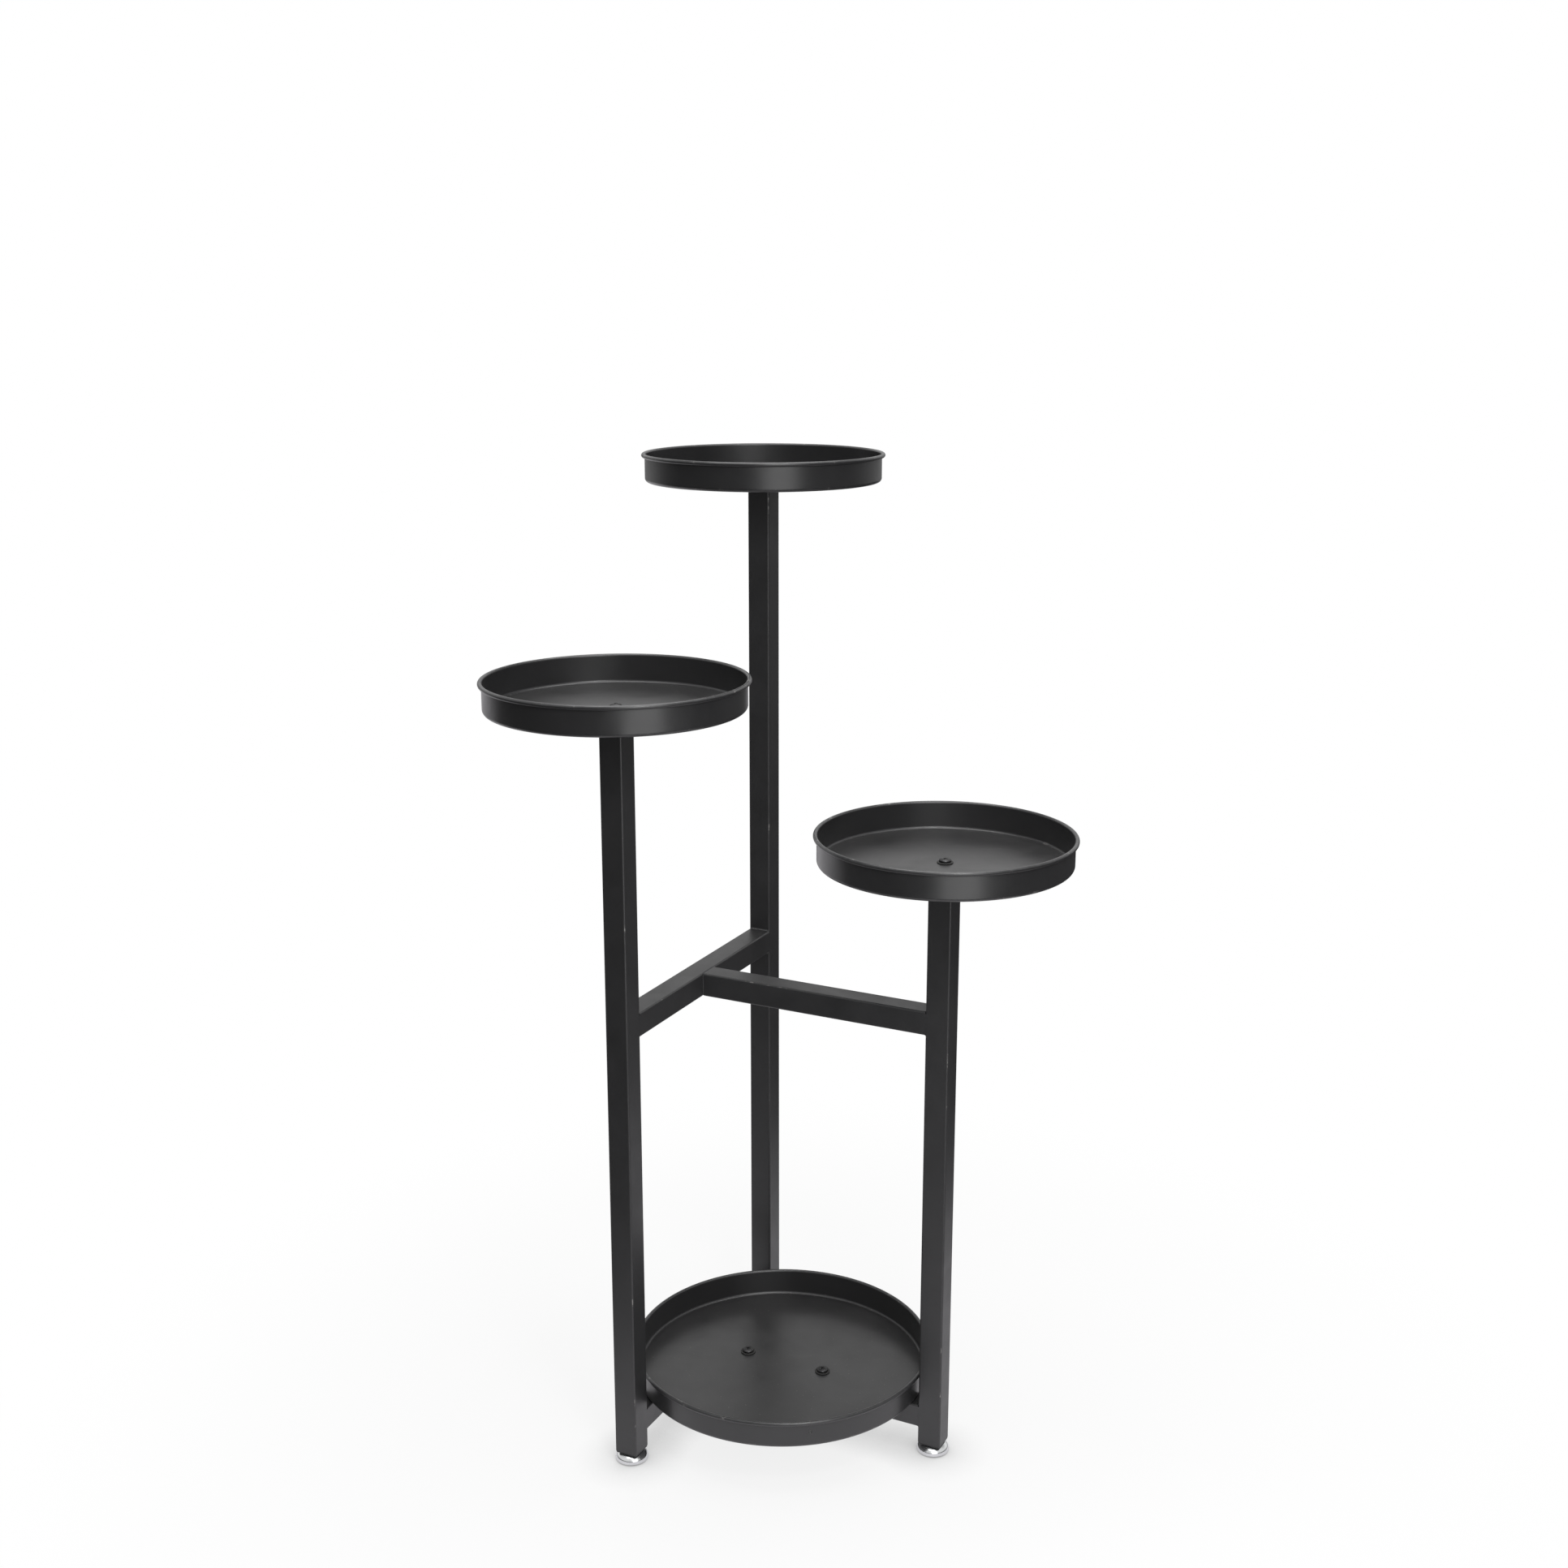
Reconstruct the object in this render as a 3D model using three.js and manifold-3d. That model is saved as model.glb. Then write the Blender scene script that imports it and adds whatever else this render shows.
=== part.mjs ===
// Tiered plant stand. Three square-tube posts of different height carry a round tray each,
// two T-shaped braces join them, and a wider tray lies on the lower brace. Every post stands
// on a levelling foot that screws into a plug in the tube.
// Millimetres, +Z up. The origin is on the floor, in the middle of the outline of the posts.
import * as THREE from "three";
import { mergeVertices } from "three/addons/utils/BufferGeometryUtils.js";
import Module from "manifold-3d";

const wasm = await Module();
wasm.setup();

// Layout: the cross bars run along Y between the left and the rear post, the stems along X.
const postSpacing = 308;
const stemReach = 276;
const leftPostTop = 800;
const rearPostTop = 988;
const rightPostTop = 643;
const upperBraceTop = 492;
const lowerBraceTop = 55;

// Square tube
const tubeSide = 25;
const tubeWall = 1.2;
const tubeCorner = 2;

// Fillet welds at the bars' ends: their legs, and how far they reach into the bar's wall
const weldLeg = 2;
const weldRoot = 0.5;

// Gaps: welded or painted faces that meet, stacked fasteners, loose fits
const jointGap = 0.3;
const stackGap = 0.1;
const looseGap = 0.5;

// How far a cutting shape runs past the faces that it cuts
const cutMargin = 1;

// Pressed trays: a flat floor, a short upright wall and a bead rolled outwards at the rim
const sheet = 1;
const trayRadius = 125.5;
const trayHeight = 30;
const trayCorner = 4;
const beadRadius = 2.25;
const traySteps = 54;
const beadSteps = 7;
const cornerSteps = 2;

// The low tray lies inside the three posts, pushed towards the left and the right one.
const lowTrayRoom = 6;
const lowTrayShiftX = 4;
const lowTrayShiftY = -7;
const lowScrewSpacing = 90;
const hangHoleRadius = 1.5;
const hangHoleHeight = 17.2;
const hangHoleTurn = -53;

// Tray screws and what they hold on to
const screwRadius = 3;
const screwLength = 15;
const screwHeadRadius = 6;
const screwHeadHeight = 3.4;
const screwHeadEdge = 1.2;
const screwHole = 3.3;
const screwTip = 0.6;
const washerRadius = 8;
const washerThickness = 1;
const washerRoom = 2;
const plateThickness = 4;
const weldNutRadius = 5.8;
const weldNutHeight = 5;
const rivetNutRadius = 4.5;
const rivetNutFlange = 6.5;
const rivetNutFlangeThickness = 0.6;
const rivetNutBulge = 6.2;
const rivetNutBulgeHeight = 2.6;
const rivetNutLength = 13;
const threadBore = 3.2;

// Levelling feet
const padThickness = 3;
const padChamfer = 0.6;
const padBossRadius = 7;
const domeRadius = 17;
const domeRimHeight = 1.2;
const domeSkirt = 2.4;
const domeRise = 6.1;
const domeCrown = 7;
const domeShell = 1.2;
const studRadius = 4;
const studLength = 28;
const studHeadRadius = 7;
const studHeadHeight = 2.2;
const studTip = 0.8;
const footNutRadius = 7.5;
const footNutHeight = 6.5;
const footNutRecess = 0.6;
const plugLip = 1.5;
const plugLipInset = 0.3;
const plugLength = 22;
const plugCore = 18.5;
const plugFinThickness = 1.2;
const plugFins = 3;
const footSteps = 20;
const boltSteps = 16;

// Heights and places that follow from the sizes above
const halfTube = tubeSide / 2;
const tubeInside = tubeSide - 2 * tubeWall;
const domeTop = domeRimHeight + domeSkirt + domeRise;
const plugBase = domeTop + jointGap;
const postBase = plugBase + plugLip + stackGap;
const leftX = -stemReach / 2;
const rightX = stemReach / 2;
const leftY = -postSpacing / 2;
const rearY = postSpacing / 2;
const beadReach = 2 * beadRadius - sheet;

const powderCoat = { color: 0x222223, roughness: 0.45, metalness: 0.15 };
const chrome = { color: 0xd9dbdc, roughness: 0.1, metalness: 1 };
const zinc = { color: 0xb4b7ba, roughness: 0.35, metalness: 1 };
const blackSteel = { color: 0x454547, roughness: 0.4, metalness: 1 };
const blackNylon = { color: 0x161617, roughness: 0.6, metalness: 0 };
const rubber = { color: 0x0f0f10, roughness: 0.85, metalness: 0 };

function piece(name, geometry, finish) {
  const mesh = new THREE.Mesh(geometry, new THREE.MeshStandardMaterial(finish));
  mesh.name = name;
  return mesh;
}

function group(...children) {
  const holder = new THREE.Group();
  holder.add(...children);
  return holder;
}

function point(radius, height) {
  return new THREE.Vector2(radius, height);
}

// Points of an elliptical arc round (x, y), both ends included
function arc(x, y, radiusX, radiusY, from, to, steps) {
  return Array.from({ length: steps + 1 }, (_, i) => {
    const angle = from + ((to - from) * i) / steps;
    return point(x + radiusX * Math.cos(angle), y + radiusY * Math.sin(angle));
  });
}

// A profile of (radius, height) points turned round the Z axis
function turned(profile, steps) {
  return new THREE.LatheGeometry(profile, steps).rotateX(Math.PI / 2);
}

function closed(profile) {
  return [...profile, profile[0].clone()];
}

function prism(outline, height) {
  return new THREE.ExtrudeGeometry(outline, { depth: height, bevelEnabled: false, curveSegments: 1 });
}

function polygon(radius, sides) {
  return new THREE.Shape(arc(0, 0, radius, radius, 0, 2 * Math.PI, sides).slice(0, sides));
}

// A many-sided hole whose flats, not its corners, lie on the radius
function roundHole(radius, sides) {
  return polygon(radius / Math.cos(Math.PI / sides), sides);
}

function roundedSquare(side, radius) {
  const centre = side / 2 - radius;
  const outline = new THREE.Shape();
  [[1, 1], [-1, 1], [-1, -1], [1, -1]].forEach(([signX, signY], i) => {
    const start = (i * Math.PI) / 2;
    outline.absarc(signX * centre, signY * centre, radius, start, start + Math.PI / 2);
  });
  return outline;
}

function withHole(outline, hole) {
  outline.holes.push(hole);
  return outline;
}

function toSolid(geometry) {
  const bare = geometry.clone();
  bare.deleteAttribute("normal");
  bare.deleteAttribute("uv");
  const merged = mergeVertices(bare);
  const vertProperties = merged.attributes.position.array;
  const triVerts = new Uint32Array(merged.index.array);
  return new wasm.Manifold(new wasm.Mesh({ numProp: 3, vertProperties, triVerts }));
}

function toGeometry(solid) {
  const { vertProperties, triVerts } = solid.getMesh();
  const geometry = new THREE.BufferGeometry();
  geometry.setAttribute("position", new THREE.BufferAttribute(vertProperties, 3));
  geometry.setIndex(new THREE.BufferAttribute(triVerts, 1));
  const faceted = geometry.toNonIndexed();
  faceted.computeVertexNormals();
  return faceted;
}

function joined(...geometries) {
  return toGeometry(geometries.map(toSolid).reduce((sum, solid) => sum.add(solid)));
}

function cut(geometry, ...tools) {
  return toGeometry(tools.map(toSolid).reduce((rest, tool) => rest.subtract(tool), toSolid(geometry)));
}

// An upright drill at (x, y) that runs from bottom to top
function drill(radius, x, y, bottom, top, sides = boltSteps) {
  return prism(roundHole(radius, sides), top - bottom).translate(x, y, bottom);
}

// Square tube of the given length along +Z, open at both ends
function tube(length) {
  const bore = roundedSquare(tubeInside, tubeCorner - tubeWall);
  return prism(withHole(roundedSquare(tubeSide, tubeCorner), bore), length);
}

// Two fillet welds on opposite faces of an upright bar, at its lower end; turn picks the faces
function filletWelds(turn) {
  const width = tubeSide - 2 * tubeCorner;
  const outline = new THREE.Shape([
    point(halfTube - weldRoot, 0),
    point(halfTube + weldLeg, 0),
    point(halfTube, weldLeg),
    point(halfTube - weldRoot, weldLeg),
  ]);
  return [turn, turn + Math.PI].map((angle) =>
    prism(outline, width).rotateX(Math.PI / 2).translate(0, width / 2, 0).rotateZ(angle));
}

// Tube of the given length along +Z with fillet welds at both ends, on the faces that the turns pick
function weldedTube(length, lowerTurn, upperTurn) {
  const upperWelds = filletWelds(upperTurn).map((weld) => weld.rotateX(Math.PI).translate(0, 0, length));
  return joined(tube(length), ...filletWelds(lowerTurn), ...upperWelds);
}

// Tray of one sheet thickness: out along the underside, up the wall, round the rolled bead,
// down the inside and back along the floor, which has an edge at each of the given radii.
// Screw holes are drilled at the given places.
function tray(wallRadius, screwPlaces, floorEdges) {
  const cornerX = wallRadius - trayCorner;
  const beadX = wallRadius - sheet + beadRadius;
  const beadEnd = -Math.acos(sheet / beadRadius - 1);
  const profile = [
    point(0, 0),
    ...arc(cornerX, trayCorner, trayCorner, trayCorner, -Math.PI / 2, 0, cornerSteps),
    ...arc(beadX, trayHeight - beadRadius, beadRadius, beadRadius, beadEnd, Math.PI, beadSteps),
    ...arc(cornerX, trayCorner, trayCorner - sheet, trayCorner - sheet, 0, -Math.PI / 2, cornerSteps),
    ...floorEdges.map((radius) => point(radius, sheet)),
    point(0, sheet),
  ];
  const drills = screwPlaces.map(([x, y]) => drill(screwHole, x, y, -cutMargin, sheet + cutMargin));
  return cut(turned(profile, traySteps), ...drills);
}

// Pan-head screw that hangs from its head's seat at height 0
function screw() {
  const dome = screwHeadHeight - screwHeadEdge;
  return turned([
    point(0, -screwLength),
    point(screwRadius - screwTip, -screwLength),
    point(screwRadius, screwTip - screwLength),
    point(screwRadius, 0),
    point(screwHeadRadius, 0),
    ...arc(0, screwHeadEdge, screwHeadRadius, dome, 0, Math.PI / 2, 3),
  ], boltSteps);
}

function washer() {
  return prism(withHole(polygon(washerRadius, boltSteps), roundHole(screwHole, boltSteps)), washerThickness);
}

// Washer and screw on a tray floor; seat is the height of the floor's upper face
function trayFastener(prefix, suffix, seat) {
  const ring = piece(`${prefix}_washer${suffix}`, washer(), rubber);
  const bolt = piece(`${prefix}_screw${suffix}`, screw(), blackSteel);
  ring.position.z = seat + stackGap;
  bolt.position.z = ring.position.z + washerThickness + stackGap;
  return group(ring, bolt);
}

// Square plate welded flush into the top of a post, with a nut welded under it
function postHead(side, top) {
  const plateSide = tubeInside - 2 * jointGap;
  const plateOutline = roundedSquare(plateSide, tubeCorner - tubeWall);
  const plate = piece(
    `${side}_post_plate`,
    prism(withHole(plateOutline, roundHole(screwHole, boltSteps)), plateThickness),
    powderCoat,
  );
  const nutOutline = withHole(polygon(weldNutRadius, 6), roundHole(threadBore, boltSteps));
  const nut = piece(`${side}_weld_nut`, prism(nutOutline, weldNutHeight), zinc);
  plate.position.z = top - plateThickness;
  nut.position.z = plate.position.z - stackGap - weldNutHeight;
  return group(plate, nut);
}

// Fluted plug in the tube's lower end, lip down, with a pocket that holds the foot's nut
function footPlug() {
  const cornerRadius = tubeCorner - tubeWall;
  const finSide = tubeInside - 2 * jointGap;
  const finPitch = (plugLength - plugFinThickness) / plugFins;
  const fins = Array.from({ length: plugFins }, (_, i) => {
    const height = plugLip + finPitch * (i + 1);
    return prism(roundedSquare(finSide, cornerRadius), plugFinThickness).translate(0, 0, height);
  });
  const body = joined(
    prism(roundedSquare(tubeSide - 2 * plugLipInset, tubeCorner), plugLip),
    prism(roundedSquare(plugCore, cornerRadius), plugLip + plugLength),
    ...fins,
  );
  const pocketTop = footNutRecess + footNutHeight + stackGap;
  const pocket = prism(polygon(footNutRadius + jointGap, 6), pocketTop + cutMargin);
  const studBore = drill(studRadius + looseGap, 0, 0, 0, plugLip + plugLength + cutMargin);
  return cut(body, pocket.translate(0, 0, -cutMargin), studBore);
}

// Polished shell of the foot, with a hole for the stud in its flat crown
function footDome() {
  const skirtTop = domeRimHeight + domeSkirt;
  const reach = domeRadius - domeCrown;
  const boreRadius = studRadius + jointGap;
  return turned(closed([
    point(domeRadius, domeRimHeight),
    ...arc(domeCrown, skirtTop, reach, domeRise, 0, Math.PI / 2, 4),
    point(boreRadius, domeTop),
    point(boreRadius, domeTop - domeShell),
    ...arc(domeCrown, skirtTop, reach - domeShell, domeRise - domeShell, Math.PI / 2, 0, 3),
    point(domeRadius - domeShell, domeRimHeight),
  ]), footSteps);
}

// Threaded stud with its flat head pressed up under the dome's crown
function footStud() {
  const headTop = domeTop - domeShell - stackGap;
  const top = headTop + studLength;
  return turned([
    point(0, headTop - studHeadHeight),
    point(studHeadRadius, headTop - studHeadHeight),
    point(studHeadRadius, headTop),
    point(studRadius, headTop),
    point(studRadius, top - studTip),
    point(studRadius - studTip, top),
    point(0, top),
  ], boltSteps);
}

// Glide pad inside the dome's rim; its boss bears on the stud's head
function footPad() {
  const radius = domeRadius - domeShell - looseGap;
  const bossTop = domeTop - domeShell - stackGap - studHeadHeight - jointGap;
  return turned([
    point(0, 0),
    point(radius - padChamfer, 0),
    point(radius, padChamfer),
    point(radius, padThickness),
    point(padBossRadius, padThickness),
    point(padBossRadius, bossTop),
    point(0, bossTop),
  ], footSteps);
}

function levellingFoot(side) {
  const plug = piece(`${side}_foot_plug`, footPlug(), blackNylon);
  const nutOutline = withHole(polygon(footNutRadius, 6), roundHole(studRadius + jointGap, boltSteps));
  const nut = piece(`${side}_foot_nut`, prism(nutOutline, footNutHeight), zinc);
  plug.position.z = plugBase;
  nut.position.z = plugBase + footNutRecess;
  return group(
    plug,
    nut,
    piece(`${side}_foot_stud`, footStud(), zinc),
    piece(`${side}_foot_dome`, footDome(), chrome),
    piece(`${side}_foot_pad`, footPad(), blackNylon),
  );
}

// One post from floor to tray
function postStack(side, x, y, top) {
  const post = piece(`${side}_post`, tube(top - postBase), powderCoat);
  const dish = piece(
    `${side}_tray`,
    tray(trayRadius, [[0, 0]], [washerRadius + washerRoom]),
    powderCoat,
  );
  post.position.z = postBase;
  dish.position.z = top + jointGap;
  const stack = group(
    levellingFoot(side),
    post,
    postHead(side, top),
    dish,
    trayFastener(`${side}_tray`, "", dish.position.z + sheet),
  );
  stack.position.set(x, y, 0);
  return stack;
}

// T-shaped brace: a cross bar from the left to the rear post, and a stem from the middle of
// the cross bar to the right post, with holes for rivet nuts at the given X places. The welds
// lie over and under the bars at the posts, and on both sides of the stem at the cross bar.
function brace(level, top, holePlaces) {
  const crossLength = postSpacing - tubeSide - 2 * jointGap;
  const stemLength = stemReach - tubeSide - 2 * jointGap;
  const stemStart = leftX + halfTube + jointGap;
  const drills = holePlaces.map((x) =>
    drill(rivetNutRadius + stackGap, x - stemStart, 0, halfTube - 2 * tubeWall, tubeSide));
  const crossTube = weldedTube(crossLength, Math.PI / 2, Math.PI / 2).rotateX(-Math.PI / 2);
  const stemTube = weldedTube(stemLength, Math.PI / 2, 0).rotateY(Math.PI / 2);
  const crossBar = piece(`${level}_cross_bar`, crossTube, powderCoat);
  const stemBar = piece(`${level}_stem_bar`, drills.length ? cut(stemTube, ...drills) : stemTube, powderCoat);
  crossBar.position.set(leftX, leftY + halfTube + jointGap, 0);
  stemBar.position.set(stemStart, 0, 0);
  const tee = group(crossBar, stemBar);
  tee.position.z = top - halfTube;
  return tee;
}

// Rivet nut: flange on the bar's upper face at height 0, body through the wall, and the
// bulge that clamps it from inside
function rivetNut() {
  const bulgeTop = -tubeWall - 2 * stackGap;
  return turned(closed([
    point(threadBore, -rivetNutLength),
    point(rivetNutRadius, -rivetNutLength),
    point(rivetNutRadius, bulgeTop - rivetNutBulgeHeight),
    point(rivetNutBulge, bulgeTop - rivetNutBulgeHeight / 2),
    point(rivetNutRadius, bulgeTop),
    point(rivetNutRadius, 0),
    point(rivetNutFlange, 0),
    point(rivetNutFlange, rivetNutFlangeThickness),
    point(threadBore, rivetNutFlangeThickness),
  ]), boltSteps);
}

// Centre and wall radius of the low tray: the circle that clears the right post's face and
// the inner corners of the other two by the same room, moved by the shift
function lowTrayPlace() {
  const depth = stemReach - tubeSide;
  const halfWidth = postSpacing / 2 - halfTube;
  const circle = (depth ** 2 + halfWidth ** 2) / (2 * depth);
  return {
    x: rightX - halfTube - circle + lowTrayShiftX,
    y: lowTrayShiftY,
    radius: circle - lowTrayRoom - beadReach,
  };
}

function lowTrayStack(place, screwPlaces) {
  const dish = tray(place.radius, screwPlaces.map((x) => [x - place.x, -place.y]), []);
  const hangHole = prism(roundHole(hangHoleRadius, 8), sheet + 2 * cutMargin)
    .rotateY(Math.PI / 2)
    .translate(place.radius - sheet - cutMargin, 0, hangHoleHeight)
    .rotateZ(THREE.MathUtils.degToRad(hangHoleTurn));
  const lowTray = piece("low_tray", cut(dish, hangHole), powderCoat);
  const flangeSeat = lowerBraceTop + stackGap;
  lowTray.position.set(place.x, place.y, flangeSeat + rivetNutFlangeThickness + stackGap);
  const fasteners = screwPlaces.map((x, i) => {
    const nut = piece(`low_tray_rivet_nut_${i + 1}`, rivetNut(), zinc);
    nut.position.z = flangeSeat;
    const fastener = group(nut, trayFastener("low_tray", `_${i + 1}`, lowTray.position.z + sheet));
    fastener.position.x = x;
    return fastener;
  });
  return group(lowTray, ...fasteners);
}

const lowPlace = lowTrayPlace();
const lowScrewPlaces = [-0.5, 0.5].map((side) => lowPlace.x + side * lowScrewSpacing);

export default group(
  postStack("left", leftX, leftY, leftPostTop),
  postStack("rear", leftX, rearY, rearPostTop),
  postStack("right", rightX, 0, rightPostTop),
  brace("upper", upperBraceTop, []),
  brace("lower", lowerBraceTop, lowScrewPlaces),
  lowTrayStack(lowPlace, lowScrewPlaces),
);
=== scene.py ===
import math
from functools import lru_cache

import bmesh
import bpy
from mathutils import Matrix, Vector


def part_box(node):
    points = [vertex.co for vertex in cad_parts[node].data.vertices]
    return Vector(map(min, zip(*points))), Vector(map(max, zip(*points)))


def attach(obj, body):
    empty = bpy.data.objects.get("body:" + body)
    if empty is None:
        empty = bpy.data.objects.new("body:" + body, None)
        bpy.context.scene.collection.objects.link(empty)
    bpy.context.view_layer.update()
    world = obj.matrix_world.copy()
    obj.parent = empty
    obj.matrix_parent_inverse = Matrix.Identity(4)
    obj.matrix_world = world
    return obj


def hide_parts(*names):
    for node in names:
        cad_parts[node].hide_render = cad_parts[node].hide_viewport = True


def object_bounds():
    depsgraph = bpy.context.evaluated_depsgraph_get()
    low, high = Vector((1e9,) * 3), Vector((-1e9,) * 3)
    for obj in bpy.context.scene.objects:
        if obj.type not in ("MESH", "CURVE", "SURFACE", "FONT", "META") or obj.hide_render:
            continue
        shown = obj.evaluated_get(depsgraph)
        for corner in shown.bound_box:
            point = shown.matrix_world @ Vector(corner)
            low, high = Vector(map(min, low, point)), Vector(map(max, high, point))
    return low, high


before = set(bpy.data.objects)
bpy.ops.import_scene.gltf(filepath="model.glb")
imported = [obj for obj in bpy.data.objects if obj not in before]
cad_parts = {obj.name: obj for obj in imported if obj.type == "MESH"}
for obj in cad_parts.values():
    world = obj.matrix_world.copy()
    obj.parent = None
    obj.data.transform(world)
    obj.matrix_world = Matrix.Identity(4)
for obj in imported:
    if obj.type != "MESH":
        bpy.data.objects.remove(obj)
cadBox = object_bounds()
scene = bpy.context.scene
mm = 0.001
sides = ("left", "rear", "right")
print("stand: frame loaded with", len(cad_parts), "nodes")

meshing = {
    "merge": 0.002 * mm,  # closer points become one
    "shortest": 0.001 * mm,  # shorter edges are dissolved
    "level": 1e-7,  # heights closer than this are the same
    "sharp": 32,  # degrees between faces from which an edge stays sharp
}


def measured(node):
    # the extent of a CAD node and the middle of its underside
    low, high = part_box(node)
    return high - low, Vector(((low.x + high.x) / 2, (low.y + high.y) / 2, low.z))


def arcPoints(centre, radius, start, end, count, rise=None):
    # points (distance from the axis, height) along an arc in degrees; a rise of its own makes it an ellipse
    rise = radius if rise is None else rise
    turns = [math.radians(start + (end - start) * i / count) for i in range(count + 1)]
    return [(centre[0] + radius * math.cos(t), centre[1] + rise * math.sin(t)) for t in turns]


def tidyMesh(bm):
    bmesh.ops.remove_doubles(bm, verts=bm.verts[:], dist=meshing["merge"])
    bmesh.ops.dissolve_degenerate(bm, edges=bm.edges[:], dist=meshing["shortest"])
    bmesh.ops.recalc_face_normals(bm, faces=bm.faces[:])


def spun(points, steps, closed=False):
    # turns a profile of (distance from the axis, height) once round the Z axis
    bm = bmesh.new()
    verts = [bm.verts.new((x, 0, z)) for x, z in points]
    pairs = list(zip(verts, verts[1:]))
    if closed:
        pairs.append((verts[-1], verts[0]))
    edges = [bm.edges.new(pair) for pair in pairs]
    bmesh.ops.spin(
        bm, geom=verts + edges, axis=(0, 0, 1), cent=(0, 0, 0), angle=2 * math.pi, steps=steps,
        use_merge=True,
    )
    tidyMesh(bm)
    return bm


def roundedSquare(side, corner, segments):
    # one flat face on z = 0
    bm = bmesh.new()
    bmesh.ops.create_grid(bm, x_segments=1, y_segments=1, size=side / 2)
    bmesh.ops.bevel(
        bm, geom=bm.verts[:], affect="VERTICES", offset=corner, segments=segments, profile=0.5,
        material=-1,
    )
    return bm


def raiseFaces(bm, faces, height):
    # extrudes faces straight up and gives the new ones back; a face that closed a solid goes
    inside = [f for f in faces if any(g not in faces for e in f.edges for g in e.link_faces)]
    made = bmesh.ops.extrude_face_region(bm, geom=faces)["geom"]
    verts = [g for g in made if isinstance(g, bmesh.types.BMVert)]
    bmesh.ops.translate(bm, verts=verts, vec=(0, 0, height))
    bmesh.ops.delete(bm, geom=inside, context="FACES_ONLY")
    return [g for g in made if isinstance(g, bmesh.types.BMFace)]


def moved(bm, x, y, z=0.0):
    bmesh.ops.translate(bm, verts=bm.verts[:], vec=(x, y, z))
    return bm


def prism(corners, radius, height, base=0.0):
    bm = bmesh.new()
    bmesh.ops.create_circle(bm, cap_ends=True, segments=corners, radius=radius)
    raiseFaces(bm, bm.faces[:], height)
    bmesh.ops.recalc_face_normals(bm, faces=bm.faces[:])
    return moved(bm, 0, 0, base)


def levelEdges(bm):
    return [e for e in bm.edges if abs(e.verts[0].co.z - e.verts[1].co.z) < meshing["level"]]


def softenEdges(bm, edges, width, segments=2):
    bmesh.ops.bevel(
        bm, geom=edges, affect="EDGES", offset=width, segments=segments, profile=0.5, material=-1,
        clamp_overlap=True,
    )


def joinMeshes(parts):
    whole = parts[0]
    for part in parts[1:]:
        data = bpy.data.meshes.new("part")
        part.to_mesh(data)
        part.free()
        whole.from_mesh(data)
        bpy.data.meshes.remove(data)
    return whole


def boolean(bm, tool, operation="DIFFERENCE"):
    # cuts, joins or meets two meshes and gives a new one
    shapes = []
    for name, part in (("host", bm), ("tool", tool)):
        data = bpy.data.meshes.new(name)
        part.to_mesh(data)
        part.free()
        shapes.append(bpy.data.objects.new(name, data))
        scene.collection.objects.link(shapes[-1])
    step = shapes[0].modifiers.new("cut", "BOOLEAN")
    step.object, step.operation, step.solver = shapes[1], operation, "EXACT"
    made = bmesh.new()
    made.from_object(shapes[0], bpy.context.evaluated_depsgraph_get())
    for shape in shapes:
        data = shape.data
        bpy.data.objects.remove(shape)
        bpy.data.meshes.remove(data)
    return made


def finishPiece(bm, name, finish, nodes=(), place=(0, 0, 0), body="stand", edgeTone=None, flatShare=True):
    # the one way a mesh becomes a piece: its place goes into the mesh, and it rides on a body
    slot, material = finish
    tone = bm.verts.layers.float.new("edgeTone")
    for v in bm.verts:
        v[tone] = edgeTone(v.co) if edgeTone else 0.0
    moved(bm, *place)
    mesh = bpy.data.meshes.new(name)
    bm.to_mesh(mesh)
    bm.free()
    mesh.shade_smooth()
    mesh.set_sharp_from_angle(angle=math.radians(meshing["sharp"]))
    mesh.materials.append(material)
    piece = bpy.data.objects.new(name, mesh)
    scene.collection.objects.link(piece)
    if flatShare:
        weights = piece.modifiers.new("flat faces stay flat", "WEIGHTED_NORMAL")
        weights.keep_sharp = True
    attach(piece, body)
    if nodes:
        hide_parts(*nodes)


# nodes of a material: each function adds one and gives back what comes out of it


def feed(tree, socket, value):
    # another socket is linked, anything else is set
    if isinstance(value, bpy.types.NodeSocket):
        tree.links.new(value, socket)
    else:
        socket.default_value = (*value, 1.0) if socket.type == "RGBA" else value


def addNode(tree, kind, inputs=None, **settings):
    node = tree.nodes.new(kind)
    for name, value in settings.items():
        setattr(node, name, value)
    for name, value in (inputs or {}).items():
        feed(tree, node.inputs[name], value)
    return node


def inOrder(tree, kind, *values, **settings):
    # a node whose inputs are given in the order of its sockets
    node = addNode(tree, kind, **settings)
    for socket, value in zip(node.inputs, values):
        feed(tree, socket, value)
    return node.outputs


def calculated(tree, operation, *values, **settings):
    return inOrder(tree, "ShaderNodeMath", *values, operation=operation, **settings)[0]


def mapped(tree, value, low, high, start=0.0, end=1.0, curve="LINEAR"):
    # carries low to high over to start to end, and stops there
    inputs = {"Value": value, "From Min": low, "From Max": high, "To Min": start, "To Max": end}
    return addNode(tree, "ShaderNodeMapRange", inputs, interpolation_type=curve).outputs["Result"]


def noise(tree, vector, scale, detail, roughness=0.5, distortion=0.0):
    inputs = {
        "Vector": vector, "Scale": scale, "Detail": detail, "Roughness": roughness,
        "Distortion": distortion,
    }
    return addNode(tree, "ShaderNodeTexNoise", inputs).outputs["Fac"]


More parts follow.
